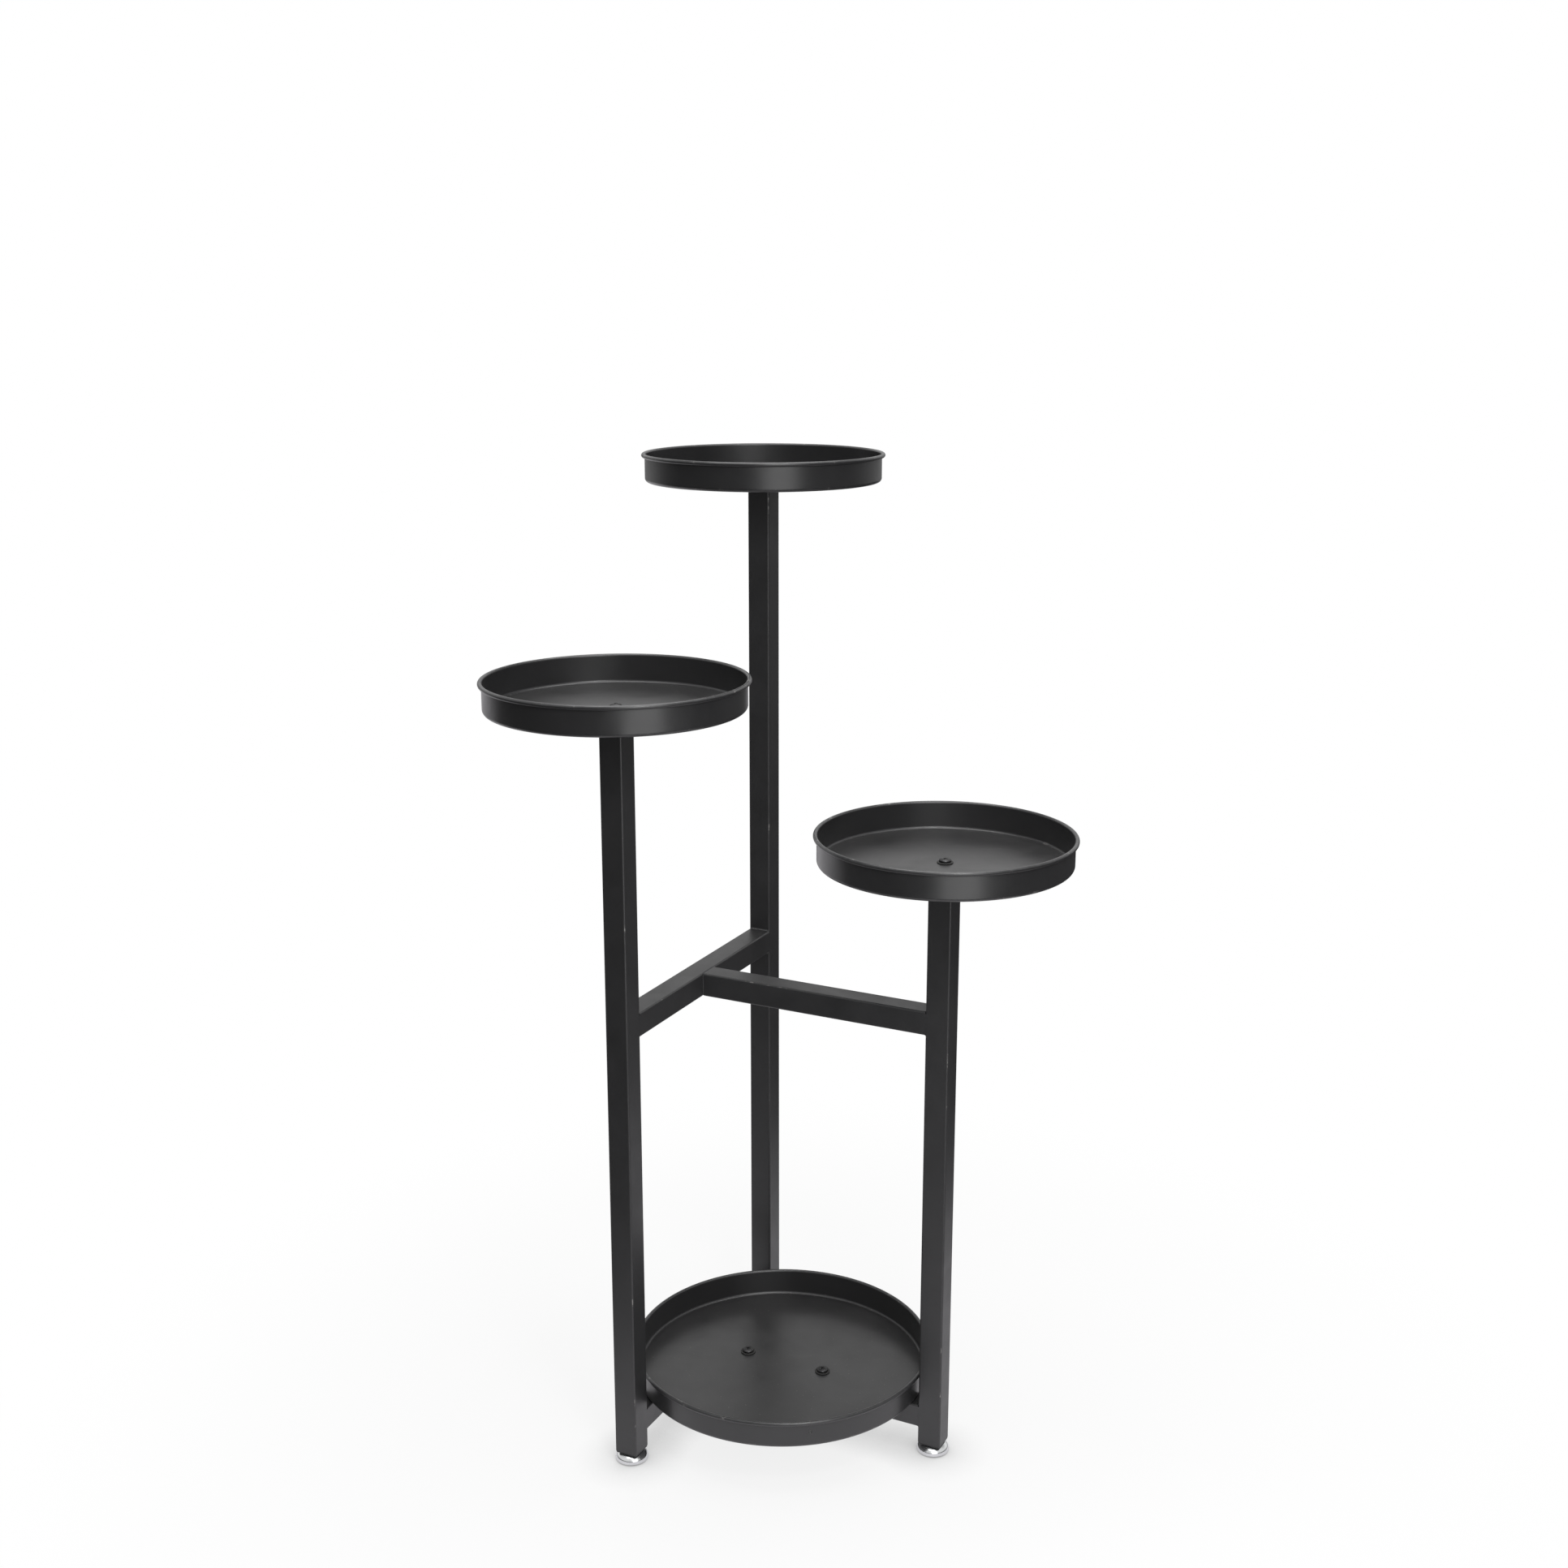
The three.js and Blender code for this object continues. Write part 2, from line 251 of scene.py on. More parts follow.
def mixed(tree, kind, factor, first, second):
    # kind is RGBA for colours and VALUE for numbers
    node = addNode(tree, "ShaderNodeMix", data_type="FLOAT" if kind == "VALUE" else kind)
    feed(tree, node.inputs["Factor"], factor)
    for label, value in (("A", first), ("B", second)):
        feed(tree, next(s for s in node.inputs if s.name == label and s.type == kind), value)
    return next(s for s in node.outputs if s.type == kind)


def mixedShader(tree, factor, first, second):
    return inOrder(tree, "ShaderNodeMixShader", factor, first, second)[0]


def layOut(tree, across=220, down=190):
    # puts each node in a column to the left of all that it feeds
    columns = {node.name: 0 for node in tree.nodes}
    for i in range(len(tree.nodes)):
        for link in tree.links:
            source, target = link.from_node.name, link.to_node.name
            columns[source] = max(columns[source], columns[target] + 1)
    rows = {}
    for node in tree.nodes:
        column = columns[node.name]
        rows[column] = rows.get(column, 0) + 1
        node.location = (-across * column, -down * rows[column])


# node groups that the finishes share; each has one output


def startGroup(name, inputs):
    group = bpy.data.node_groups.new(name, "ShaderNodeTree")
    for label, value in {"Vector": None, **inputs}.items():
        kind = "NodeSocketFloat" if isinstance(value, float) else "NodeSocketVector"
        socket = group.interface.new_socket(name=label, in_out="INPUT", socket_type=kind)
        if value is not None:
            socket.default_value = value
    return group, group.nodes.new("NodeGroupInput").outputs


def endGroup(group, label, value):
    group.interface.new_socket(name=label, in_out="OUTPUT", socket_type="NodeSocketFloat")
    addNode(group, "NodeGroupOutput", {label: value})
    layOut(group)
    return group


def coatGrainGroup():
    # the orange peel of a baked powder coat: wide soft waves, peel, and a fine grain on top
    group, given = startGroup("coat grain", {"Peel": 520.0, "Grain": 2600.0, "Wave": 28.0})
    total = 0.0
    for label, share, detail in (("Peel", 0.55, 2.0), ("Grain", 0.3, 1.0), ("Wave", 2.2, 0.0)):
        relief = noise(group, given["Vector"], given[label], detail)
        total = calculated(group, "MULTIPLY_ADD", relief, share, total)
    return endGroup(group, "Height", total)


def unevenToneGroup():
    # slow changes over a face, between two values
    group, given = startGroup("uneven tone", {"Scale": 18.0, "Low": 0.0, "High": 1.0})
    patches = noise(group, given["Vector"], given["Scale"], 4.0, 0.55, 0.4)
    return endGroup(group, "Value", mapped(group, patches, 0.3, 0.7, given["Low"], given["High"]))


def lyingDustGroup():
    # a thin film and single specks on what faces up
    group, given = startGroup("lying dust", {"Film": 0.1, "Specks": 0.5})
    facing = addNode(group, "ShaderNodeNewGeometry").outputs["Normal"]
    height = addNode(group, "ShaderNodeSeparateXYZ", {"Vector": facing}).outputs["Z"]
    film = calculated(group, "MULTIPLY", noise(group, given["Vector"], 22.0, 5.0), given["Film"])
    specks = mapped(group, noise(group, given["Vector"], 420.0, 1.0), 0.73, 0.79)
    specks = calculated(group, "MULTIPLY", specks, given["Specks"])
    dust = calculated(group, "ADD", film, specks, use_clamp=True)
    onTop = mapped(group, height, 0.8, 0.98)
    return endGroup(group, "Mask", calculated(group, "MULTIPLY", dust, onTop))


def rubbedEdgeGroup():
    # where hands and cloths have burnished the coat along an edge, broken up by a noise
    group, given = startGroup(
        "rubbed edges", {"Edge": 0.0, "Amount": 0.5, "Scale": 95.0, "From": 0.42, "To": 0.72}
    )
    patches = noise(group, given["Vector"], given["Scale"], 6.0, 0.65)
    patches = mapped(group, patches, given["From"], given["To"])
    edge = mapped(group, given["Edge"], 0.55, 1.0)
    rubbed = calculated(group, "MULTIPLY", patches, edge)
    return endGroup(group, "Mask", calculated(group, "MULTIPLY", rubbed, given["Amount"]))


def fineScratchGroup():
    # hairlines: a noise drawn out along one direction, kept where it peaks
    group, given = startGroup("fine scratches", {"Stretch": (60.0, 1500.0, 300.0), "Cut": 0.62})
    drawn = inOrder(group, "ShaderNodeVectorMath", given["Vector"], given["Stretch"], operation="MULTIPLY")
    peaks = noise(group, drawn["Vector"], 1.0, 3.0, distortion=0.3)
    above = calculated(group, "SUBTRACT", peaks, given["Cut"])
    return endGroup(group, "Mask", calculated(group, "MULTIPLY", above, 9.0, use_clamp=True))


coatGrain = coatGrainGroup()
unevenTone = unevenToneGroup()
lyingDust = lyingDustGroup()
rubbedEdge = rubbedEdgeGroup()
fineScratch = fineScratchGroup()


def placed(tree, group, inputs):
    node = tree.nodes.new("ShaderNodeGroup")
    node.node_tree = group
    for name, value in inputs.items():
        feed(tree, node.inputs[name], value)
    return node.outputs[0]


def startMaterial(name):
    material = bpy.data.materials.new(name)
    material.use_nodes = True
    tree = material.node_tree
    where = addNode(tree, "ShaderNodeTexCoord").outputs["Object"]
    return material, tree, tree.nodes["Principled BSDF"], where


def makeFinish(name, slot, look, settings):
    # tone and gloss always; burnished edges, dust and hairlines where the look has them
    material, tree, shader, where = startMaterial(name)
    low, high = look["roughness"]
    tone = placed(tree, unevenTone, {"Vector": where, "Scale": look["patchScale"]})
    colour = mixed(tree, "RGBA", tone, look["dark"], look["light"])
    rough = placed(tree, unevenTone, {"Vector": where, "Scale": look["glossScale"], "Low": low, "High": high})
    if "rub" in look:
        edge = addNode(tree, "ShaderNodeAttribute", attribute_name="edgeTone").outputs["Fac"]
        rubbed = placed(tree, rubbedEdge, {"Vector": where, "Edge": edge, "Amount": look["rub"]})
        nicks = placed(tree, rubbedEdge, {
            "Vector": where, "Edge": edge, "Amount": look["nicks"], "Scale": look["nickScale"],
            "From": look["nickCut"][0], "To": look["nickCut"][1],
        })
        colour = mixed(tree, "RGBA", rubbed, colour, look["rubbed"])
        colour = mixed(tree, "RGBA", nicks, colour, look["bare"])
        rough = mixed(tree, "VALUE", rubbed, rough, look["rubbedRoughness"])
    if "film" in look:
        dust = placed(tree, lyingDust, {"Vector": where, "Film": look["film"], "Specks": look["specks"]})
        colour = mixed(tree, "RGBA", dust, colour, look["dust"])
        if "dustRoughness" in look:
            rough = mixed(tree, "VALUE", dust, rough, look["dustRoughness"])
    if "stretch" in look:
        relief = placed(tree, fineScratch, {"Vector": where, "Stretch": look["stretch"], "Cut": look["cut"]})
        rough = mixed(tree, "VALUE", relief, rough, look["scratchRoughness"])
    else:
        relief = placed(tree, coatGrain, {
            "Vector": where, "Peel": look["peel"], "Grain": look["grain"], "Wave": look["wave"],
        })
    bump = addNode(tree, "ShaderNodeBump", {"Strength": 1.0, "Distance": look["relief"], "Height": relief})
    inputs = {"Base Color": colour, "Roughness": rough, "Normal": bump.outputs["Normal"], **settings}
    for label, value in inputs.items():
        feed(tree, shader.inputs[label], value)
    layOut(tree)
    return slot, material


coatLook = {
    "dust": (0.2, 0.19, 0.18), "dustRoughness": 0.75, "bare": (0.3, 0.29, 0.28), "nickCut": (0.62, 0.66),
    "grain": 2600.0, "relief": 0.03 * mm,
}
coated = {"IOR": 1.58}
metallic = {"Metallic": 1.0}
tubeCoat = makeFinish("powder coat on tube", "powder_coat", {
    **coatLook, "dark": (0.0165, 0.0165, 0.0172), "light": (0.023, 0.0228, 0.0238), "patchScale": 14.0,
    "roughness": (0.4, 0.48), "glossScale": 30.0, "film": 0.04, "specks": 0.35,
    "rub": 0.5, "rubbed": (0.045, 0.045, 0.047), "rubbedRoughness": 0.3, "nicks": 0.8, "nickScale": 30.0,
    "peel": 560.0, "wave": 30.0,
}, coated)
trayCoat = makeFinish("powder coat on tray", "powder_coat", {
    **coatLook, "dark": (0.0155, 0.0155, 0.0162), "light": (0.0215, 0.0213, 0.0222), "patchScale": 11.0,
    "roughness": (0.29, 0.39), "glossScale": 24.0, "film": 0.05, "specks": 0.5,
    "rub": 0.6, "rubbed": (0.05, 0.05, 0.052), "rubbedRoughness": 0.28, "nicks": 0.35, "nickScale": 75.0,
    "peel": 480.0, "grain": 2400.0, "wave": 22.0,
}, coated)
weldCoat = makeFinish("powder coat on weld", "powder_coat", {
    **coatLook, "dark": (0.0155, 0.0155, 0.0162), "light": (0.021, 0.021, 0.022), "patchScale": 60.0,
    "roughness": (0.38, 0.5), "glossScale": 90.0, "film": 0.03, "specks": 0.2,
    "rub": 0.3, "rubbed": (0.04, 0.04, 0.042), "rubbedRoughness": 0.34, "nicks": 0.0, "nickScale": 34.0,
    "peel": 700.0, "wave": 160.0, "relief": 0.05 * mm,
}, coated)
polishedChrome = makeFinish("polished chrome", "chrome", {
    "dark": (0.66, 0.67, 0.675), "light": (0.74, 0.75, 0.755), "patchScale": 60.0,
    "roughness": (0.17, 0.25), "glossScale": 45.0, "stretch": (140.0, 140.0, 2600.0), "cut": 0.64,
    "scratchRoughness": 0.3, "relief": 0.002 * mm,
}, metallic)
zincPlate = makeFinish("zinc plate", "zinc", {
    "dark": (0.46, 0.47, 0.48), "light": (0.6, 0.595, 0.57), "patchScale": 140.0,
    "roughness": (0.28, 0.42), "glossScale": 220.0, "stretch": (900.0, 900.0, 900.0), "cut": 0.6,
    "scratchRoughness": 0.5, "relief": 0.004 * mm,
}, metallic)
blackSteel = makeFinish("black steel", "black_steel", {
    "dark": (0.045, 0.045, 0.047), "light": (0.07, 0.069, 0.069), "patchScale": 150.0,
    "roughness": (0.34, 0.48), "glossScale": 240.0, "stretch": (800.0, 800.0, 800.0), "cut": 0.62,
    "scratchRoughness": 0.55, "relief": 0.003 * mm,
}, metallic)
blackNylon = makeFinish("black nylon", "nylon", {
    "dark": (0.014, 0.014, 0.015), "light": (0.02, 0.02, 0.021), "patchScale": 120.0,
    "roughness": (0.48, 0.6), "glossScale": 300.0, "film": 0.05, "specks": 0.2,
    "dust": (0.18, 0.17, 0.16), "peel": 900.0, "grain": 4200.0, "wave": 60.0, "relief": 0.02 * mm,
}, {})
sealRubber = makeFinish("seal rubber", "rubber", {
    "dark": (0.012, 0.012, 0.012), "light": (0.019, 0.019, 0.019), "patchScale": 160.0,
    "roughness": (0.72, 0.85), "glossScale": 300.0, "film": 0.1, "specks": 0.5,
    "dust": (0.18, 0.17, 0.16), "peel": 1200.0, "grain": 5200.0, "wave": 80.0, "relief": 0.02 * mm,
}, {})
print("stand: finishes made")

tubing = {
    "side": 25.0 * mm,
    "wall": 1.2 * mm,
    "corner": 2.0 * mm,
    "cornerSegments": 8,
    "endBreak": 0.35 * mm,  # how far a sawn end is deburred
    "rivetHole": 4.6 * mm,  # radius
    "rivetHoleDown": 5.0 * mm,  # from the rivet nut's top
}


def squareTube(side, length, deburred):
    bm = roundedSquare(side, tubing["corner"], tubing["cornerSegments"])
    inset = bmesh.ops.inset_region(
        bm, faces=bm.faces[:], thickness=tubing["wall"], use_boundary=True, use_even_offset=True
    )
    bmesh.ops.delete(bm, geom=[f for f in bm.faces if f not in inset["faces"]], context="FACES_ONLY")
    raiseFaces(bm, bm.faces[:], length)
    if deburred:
        rims = [e for e in levelEdges(bm) if e.calc_face_angle(0) > 1]
        softenEdges(bm, rims, tubing["endBreak"])
    tidyMesh(bm)
    return bm


def makeTube(node, axis, cutter=None):
    # axis is 0, 1 or 2; the ends of bars butt against a post or a bar, and only posts have free ends
    low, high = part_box(node)
    middle = (low + high) / 2
    upright = axis == 2
    bm = squareTube(tubing["side"], (high - low)[axis], upright)
    turn = (Matrix.Rotation(math.pi / 2, 4, "Y"), Matrix.Rotation(-math.pi / 2, 4, "X"), Matrix.Identity(4))
    foot = middle.copy()
    foot[axis] = low[axis]
    bmesh.ops.transform(bm, matrix=Matrix.Translation(foot) @ turn[axis], verts=bm.verts[:])
    if cutter:
        bm = boolean(bm, cutter)
    flat = tubing["side"] / 2 - tubing["corner"]

    def tone(co):
        # 1 in the middle of each rounded corner and round free ends, 0 on the flats
        fromEnd = min(co[axis] - low[axis], high[axis] - co[axis])
        if upright and fromEnd < tubing["endBreak"] * 0.8:
            return 1.0
        alongCorner = min(abs(co[i] - middle[i]) for i in range(3) if i != axis) - flat
        return min(1.0, max(0.0, alongCorner) / (tubing["corner"] * 0.7))

    finishPiece(bm, node + "_tube", tubeCoat, [node], edgeTone=None if cutter else tone)


def rivetHoles():
    holes = []
    for i in (1, 2):
        size, foot = measured(f"low_tray_rivet_nut_{i}")
        base = foot.z + size.z - tubing["rivetHoleDown"]
        holes.append(moved(prism(48, tubing["rivetHole"], 8 * mm, base), foot.x, foot.y))
    return joinMeshes(holes)


for side in sides:
    makeTube(side + "_post", 2)
makeTube("upper_cross_bar", 1)
makeTube("upper_stem_bar", 0)
makeTube("lower_cross_bar", 1)
makeTube("lower_stem_bar", 0, rivetHoles())
print("stand: posts and bars made")

pressing = {
    "sheet": 1.0 * mm,
    "corner": 4.0 * mm,  # outer radius between floor and wall
    "bead": 2.25 * mm,  # outer radius of the rolled rim
    "beadEnd": -113,  # degrees round the bead where the sheet ends, just off the wall
    "steps": 192,
    "screwHole": 3.3 * mm,
    "cornerTone": 0.75,  # how much the lower corner is burnished, against 1 on the bead
}
hangHole = {
    "radius": 1.5 * mm,
    "lead": 0.6 * mm,  # radius of the flared outer edge
    "height": 17.2 * mm,
    "turn": -53,  # degrees round the tray from +X
    "reach": 3.0 * mm,  # of the drill, to both sides of the wall
}


def trayProfile(radius, height, bore):
    # from the hole along the floor, up the inside, round the bead to the sheet's end, and back
    sheet, corner, bead = pressing["sheet"], pressing["corner"], pressing["bead"]
    cornerAt = (radius - corner, corner)
    beadAt = (radius - sheet + bead, height - bead)
    inside = [(bore, sheet), (radius * 0.5, sheet)]
    inside += arcPoints(cornerAt, corner - sheet, -90, 0, 8)
    inside += arcPoints(beadAt, bead, 180, pressing["beadEnd"], 22)
    back = arcPoints(beadAt, bead - sheet, pressing["beadEnd"], 180, 16)
    back += arcPoints(cornerAt, corner, 0, -90, 10)
    back += [(radius * 0.5, 0), (bore, 0)]
    return inside + back


@lru_cache(maxsize=None)
def trayMesh(radius, height, bore):
    return spun(trayProfile(radius, height, bore), pressing["steps"], closed=True)


def hangDrill(wallRadius):
    bore, lead, reach = hangHole["radius"], hangHole["lead"], hangHole["reach"]
    flare = arcPoints((bore + lead, -lead), lead, 180, 94, 3)
    drill = spun([(0, -reach), (bore, -reach), *flare, (bore + lead, reach), (0, reach)], 48)
    turn = Matrix.Rotation(math.radians(hangHole["turn"]), 4, "Z")
    out = Matrix.Translation((wallRadius, 0, hangHole["height"])) @ Matrix.Rotation(math.pi / 2, 4, "Y")
    bmesh.ops.transform(drill, matrix=turn @ out, verts=drill.verts[:])
    return drill


def makeTray(node, screwPlaces=(), hung=False):
    # without screw places the one hole is in the middle
    size, foot = measured(node)
    sheet, corner, bead, hole = [pressing[name] for name in ("sheet", "corner", "bead", "screwHole")]
    radius = round(min(size.x, size.y) / 2 - (2 * bead - sheet), 5)
    height = round(size.z, 6)
    bm = trayMesh(radius, height, 0.0 if screwPlaces else hole).copy()
    for x, y in screwPlaces:
        bm = boolean(bm, moved(prism(48, hole, 6 * mm, -2 * mm), x - foot.x, y - foot.y))
    if hung:
        bm = boolean(bm, hangDrill(radius))

    def tone(co):
        fromAxis = co.xy.length
        if co.z > height - bead and fromAxis > radius - sheet / 2:
            return 1.0
        return pressing["cornerTone"] if co.z < corner and fromAxis > radius - corner * 0.8 else 0.0

    finishPiece(bm, node + "_pan", trayCoat, [node], foot, edgeTone=tone)


for side in sides:
    makeTray(side + "_tray")
makeTray("low_tray", [measured(f"low_tray_screw_{i}")[1].xy for i in (1, 2)], hung=True)
print("stand: trays made")

thread = {
    "crestFrom": 0.38,  # heights as shares of the pitch
    "crestTo": 0.5,
    "flankEnd": 0.88,
    "merge": 0.003 * mm,  # closer points of two turns become one
}


def threadedRod(shank, bottom, top):
    # a profile one pitch high, spun up the axis by one pitch, stacked, and cut square at both ends
    bm = bmesh.new()
    crest, pitch, steps = shank["radius"], shank["pitch"], shank["steps"]
    root = crest - shank["threadDepth"]
    outline = [
        (root, 0.0), (crest, thread["crestFrom"]), (crest, thread["crestTo"]), (root, thread["flankEnd"]),
        (root, 1.0),
    ]
    verts = [bm.verts.new((r, 0, bottom + (h - 2) * pitch)) for r, h in outline]
    edges = [bm.edges.new(pair) for pair in zip(verts, verts[1:])]
    bmesh.ops.spin(
        bm, geom=verts + edges, axis=(0, 0, 1), cent=(0, 0, 0), dvec=(0, 0, pitch / steps),
        angle=2 * math.pi, steps=steps,
    )
    oneTurn = bm.verts[:] + bm.edges[:] + bm.faces[:]
    for i in range(1, math.ceil((top - bottom) / pitch) + 3):
        nextTurn = bmesh.ops.duplicate(bm, geom=oneTurn)["geom"]
        raised = [g for g in nextTurn if isinstance(g, bmesh.types.BMVert)]
        bmesh.ops.translate(bm, verts=raised, vec=(0, 0, pitch * i))
    bmesh.ops.remove_doubles(bm, verts=bm.verts[:], dist=thread["merge"])
    for v in bm.verts:
        # the end is chamfered: what stands out past the cone is drawn in
        limit = crest - max(0.0, v.co.z - (top - shank["tip"]))
        far = v.co.xy.length
        if far > limit:
            v.co.xy *= limit / far
    for height, outwards in ((bottom, -1), (top, 1)):
        cut = bmesh.ops.bisect_plane(
            bm, geom=bm.verts[:] + bm.edges[:] + bm.faces[:], plane_co=(0, 0, height),
            plane_no=(0, 0, outwards), clear_outer=True,
        )
        rim = [g for g in cut["geom_cut"] if isinstance(g, bmesh.types.BMEdge)]
        bmesh.ops.contextual_create(bm, geom=rim)
    tidyMesh(bm)
    return bm


panScrew = {
    "headHeight": 3.4 * mm,
    "headEdge": 1.2 * mm,
    "edgeRound": 0.35 * mm,
    "overlap": 0.5 * mm,  # how far the head reaches into the thread
    "neck": 2.7 * mm,
    "recess": 5.4 * mm,
    "recessWidth": 1.1 * mm,
    "recessDepth": 1.9 * mm,
    "recessTaper": 0.45,  # size of the recess at its floor, as a share
    "radius": 3.0 * mm,
    "pitch": 1.0 * mm,
    "threadDepth": 0.6 * mm,
    "tip": 0.7 * mm,
    "steps": 32,
}


def crossCutter():
    # a cross that narrows downwards, for the head's recess
    size, width = panScrew["recess"], panScrew["recessWidth"]
    bm = bmesh.new()
    bmesh.ops.create_grid(bm, x_segments=3, y_segments=3, size=size / 2)
    for v in bm.verts:
        v.co.x = math.copysign(size / 2 if abs(v.co.x) > size / 3 else width / 2, v.co.x)
        v.co.y = math.copysign(size / 2 if abs(v.co.y) > size / 3 else width / 2, v.co.y)
    corners = [f for f in bm.faces if min(abs(c) for c in f.calc_center_median().xy) > width / 2]
    bmesh.ops.delete(bm, geom=corners, context="FACES")
    made = bmesh.ops.extrude_face_region(bm, geom=bm.faces[:])["geom"]
    floor = [g for g in made if isinstance(g, bmesh.types.BMVert)]
    bmesh.ops.scale(bm, verts=floor, vec=(panScrew["recessTaper"], panScrew["recessTaper"], 1))
    bmesh.ops.translate(bm, verts=floor, vec=(0, 0, -panScrew["recessDepth"]))
    bmesh.ops.recalc_face_normals(bm, faces=bm.faces[:])
    return moved(bm, 0, 0, panScrew["headHeight"])


@lru_cache(maxsize=None)
def panScrewMesh(headRadius, length):
    edge, soft, neck, overlap = [panScrew[name] for name in ("headEdge", "edgeRound", "neck", "overlap")]
    head = [(0, -overlap), (neck, -overlap), (neck, 0)]
    head += arcPoints((headRadius - soft, soft), soft, -90, 0, 4)
    head += arcPoints((0, edge), headRadius, 0, 90, 12, panScrew["headHeight"] - edge)
    bm = boolean(spun(head, 64), crossCutter())
    rod = threadedRod(panScrew, 0, length)
    bmesh.ops.rotate(rod, verts=rod.verts[:], matrix=Matrix.Rotation(math.pi, 3, "X"))
    return boolean(bm, rod, "UNION")


def makePanScrew(node):
    size, foot = measured(node)
    length = size.z - panScrew["headHeight"]
    bm = panScrewMesh(round(size.x / 2, 6), round(length, 6)).copy()
    foot.z += length
    finishPiece(bm, node + "_pan_head", blackSteel, [node], foot, flatShare=False)


washer = {
    "bore": 3.3 * mm,
    "outerRound": 0.35,  # both as shares of the thickness
    "innerBreak": 0.14,
}


def makeWasher(node):
    size, foot = measured(node)
    outer, thick, bore = size.x / 2, size.z, washer["bore"]
    soft, inner = thick * washer["outerRound"], thick * washer["innerBreak"]
    points = arcPoints((outer - soft, soft), soft, -90, 0, 4)
    points += arcPoints((outer - soft, thick - soft), soft, 0, 90, 4)
    points += [(bore + inner, thick), (bore, thick - inner), (bore, inner), (bore + inner, 0)]
    finishPiece(spun(points, 64, closed=True), node + "_ring", sealRubber, [node], foot)


hexNut = {
    "face": 0.97,  # radius of the flat end face, as a share of the distance to a side
    "edge": 1.02,  # reach of the chamfer, as a share of the distance to a corner
    "chamfer": 30,
    "lead": 0.5 * mm,
    "beyond": 1.0 * mm,  # how far the drill stands out
    "weldNutBore": 3.2 * mm,
    "footNutBore": 4.3 * mm,
}


def makeHexNut(node, bore):
    size, foot = measured(node)
    corner, height, lead, beyond = size.x / 2, size.z, hexNut["lead"], hexNut["beyond"]
    face, edge = corner * math.cos(math.pi / 6) * hexNut["face"], corner * hexNut["edge"]
    drop = (edge - face) * math.tan(math.radians(hexNut["chamfer"]))
    cone = spun([(0, 0), (face, 0), (edge, drop), (edge, height - drop), (face, height), (0, height)], 90)
    bm = boolean(prism(6, corner, height), cone, "INTERSECT")
    drill = spun([
        (0, -beyond), (bore + lead + beyond, -beyond), (bore, lead), (bore, height - lead),
        (bore + lead + beyond, height + beyond), (0, height + beyond),
    ], 48)
    finishPiece(boolean(bm, drill), node + "_hex", zincPlate, [node], foot, flatShare=False)


rivetNut = {
    "shell": 4.5 * mm,
    "bore": 3.2 * mm,
    "lip": 0.6 * mm,
    "grip": 1.4 * mm,  # from the lip to the bulge, for the tube's wall
    "bulge": 6.2 * mm,
    "bulgeHeight": 2.6 * mm,
    "bulgeCurve": 1.4,  # power of the sine; over 1 the bulge is pointed
    "break": 0.3 * mm,
}


def makeRivetNut(node):
    size, foot = measured(node)
    flange, total = size.x / 2, size.z
    shell, bore, lip, soft = [rivetNut[name] for name in ("shell", "bore", "lip", "break")]
    grip = total - lip - rivetNut["grip"]
    points = [(bore, 0), (shell - soft, 0), (shell, soft), (shell, grip - rivetNut["bulgeHeight"])]
    for i in range(1, 12):
        swell = math.sin(math.pi * i / 12) ** rivetNut["bulgeCurve"]
        height = grip - rivetNut["bulgeHeight"] * (1 - i / 12)
        points.append((shell + (rivetNut["bulge"] - shell) * swell, height))
    points += [(shell, grip), (shell, total - lip), (flange - soft / 2, total - lip)]
    points += arcPoints((flange - lip / 2, total - lip / 2), lip / 2, -60, 90, 6)
    points += [(bore + soft, total), (bore, total - soft)]
    finishPiece(spun(points, 64, closed=True), node + "_insert", zincPlate, [node], foot)


postPlate = {
    "corner": 0.8 * mm,
    "break": 0.25 * mm,
}


def makePlate(node):
    size, foot = measured(node)
    bm = roundedSquare(size.x, postPlate["corner"], 6)
    raiseFaces(bm, bm.faces[:], size.z)
    softenEdges(bm, levelEdges(bm), postPlate["break"])
    bmesh.ops.recalc_face_normals(bm, faces=bm.faces[:])
    bm = boolean(bm, prism(48, pressing["screwHole"], 8 * mm, -2 * mm))
    finishPiece(bm, node + "_insert", weldCoat, [node], foot)


for side in sides:
    makePanScrew(side + "_tray_screw")
    makeWasher(side + "_tray_washer")
    makePlate(side + "_post_plate")
    makeHexNut(side + "_weld_nut", hexNut["weldNutBore"])
for i in (1, 2):
    makePanScrew(f"low_tray_screw_{i}")
    makeWasher(f"low_tray_washer_{i}")
    makeRivetNut(f"low_tray_rivet_nut_{i}")
print("stand: tray fasteners made")

dome = {
    "shell": 1.2 * mm,
    "rim": 2.4 * mm,  # height of the upright rim
    "crown": 7.0 * mm,  # radius of the flat crown
    "bore": 4.3 * mm,
    "break": 0.3 * mm,
    "draw": 0.25 * mm,  # how far the rim leans in under the slope
    "steps": 96,
}


def makeDome(node, body):
    size, foot = measured(node)
    radius, height = size.x / 2, size.z
    shell, rim, crown, bore, soft = [dome[name] for name in ("shell", "rim", "crown", "bore", "break")]
    rise, reach = height - rim, radius - crown
    points = arcPoints((radius - shell / 2, shell / 2), shell / 2, -180, 0, 10)
    points += [(radius, rim * 0.55), (radius - dome["draw"], rim * 0.8)]
    points += arcPoints((crown, rim), reach, 8, 90, 22, rise)
    points += [(bore + soft, height), (bore, height - soft), (bore, height - shell)]
    points += arcPoints((crown, rim), reach - shell, 90, 0, 18, rise - shell)
    bm = spun(points, dome["steps"], closed=True)
    finishPiece(bm, node + "_shell", polishedChrome, [node], foot, body, flatShare=False)


